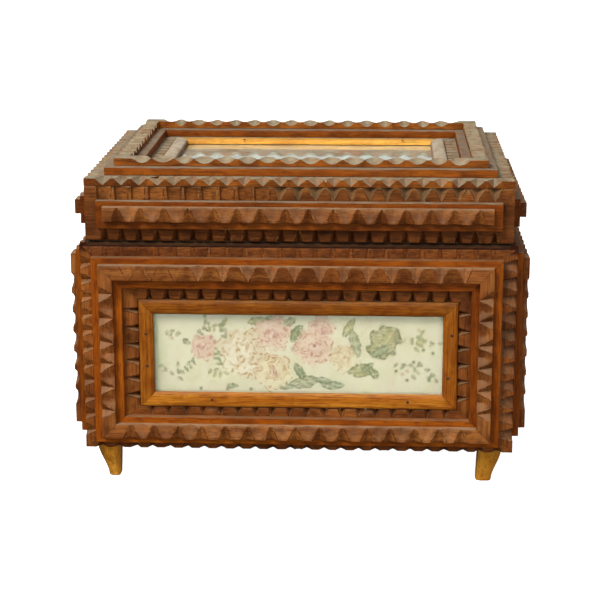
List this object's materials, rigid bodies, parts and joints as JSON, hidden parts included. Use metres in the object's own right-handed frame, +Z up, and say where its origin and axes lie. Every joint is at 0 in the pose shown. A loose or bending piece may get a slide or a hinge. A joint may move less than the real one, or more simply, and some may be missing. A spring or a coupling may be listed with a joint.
{
  "type": "tramp art box",
  "caption": "Hollow wooden box on short feet with a lift-off lid, its sides and top faced with stepped chip-carved frames around glazed floral fabric.",
  "frame": {"origin": "on the ground under the middle of the four feet, the middle of the box's plan", "axes": "+X along the width to the right of someone facing the front, +Y from the front to the back, +Z up"},
  "size_m": [0.2902, 0.213, 0.2093],
  "materials": {
    "carved_wood": "old brown varnish with grey dust in the cuts",
    "strip_wood": "orange-brown shellac, satin",
    "moulding_wood": "honey shellac, satin, worn",
    "board_wood": "bare aged softwood",
    "foot_wood": "golden varnish, satin",
    "glass": "clear picture glass",
    "fabric": "printed cotton, matt"
  },
  "bodies": {
    "root": {"box_front_base_frame": "carved_wood", "box_front_strip_frame": "strip_wood", "box_front_ridge_frame": "carved_wood", "box_front_moulding": "moulding_wood", "box_front_glass": "glass", "box_front_fabric": "fabric", "box_back_base_frame": "carved_wood", "box_back_strip_frame": "strip_wood", "box_back_ridge_frame": "carved_wood", "box_back_moulding": "moulding_wood", "box_back_glass": "glass", "box_back_fabric": "fabric", "box_left_base_frame": "carved_wood", "box_left_strip_frame": "strip_wood", "box_left_ridge_frame": "carved_wood", "box_left_moulding": "moulding_wood", "box_left_glass": "glass", "box_left_fabric": "fabric", "box_right_base_frame": "carved_wood", "box_right_strip_frame": "strip_wood", "box_right_ridge_frame": "carved_wood", "box_right_moulding": "moulding_wood", "box_right_glass": "glass", "box_right_fabric": "fabric", "box_front_board": "board_wood", "box_back_board": "board_wood", "box_left_board": "board_wood", "box_right_board": "board_wood", "box_bottom_board": "board_wood", "lid_top_base_frame": "carved_wood", "lid_top_strip_frame": "strip_wood", "lid_top_ridge_frame": "carved_wood", "lid_top_moulding": "moulding_wood", "lid_top_glass": "glass", "lid_top_fabric": "fabric", "lid_front_base_bar": "carved_wood", "lid_front_strip_bar": "strip_wood", "lid_front_ridge_bar": "carved_wood", "lid_back_base_bar": "carved_wood", "lid_back_strip_bar": "strip_wood", "lid_back_ridge_bar": "carved_wood", "lid_left_base_bar": "carved_wood", "lid_left_strip_bar": "strip_wood", "lid_left_ridge_bar": "carved_wood", "lid_right_base_bar": "carved_wood", "lid_right_strip_bar": "strip_wood", "lid_right_ridge_bar": "carved_wood", "lid_front_board": "board_wood", "lid_back_board": "board_wood", "lid_left_board": "board_wood", "lid_right_board": "board_wood", "lid_top_board": "board_wood", "foot_front_left": "foot_wood", "foot_front_right": "foot_wood", "foot_back_left": "foot_wood", "foot_back_right": "foot_wood"}
  },
  "joints": []
}
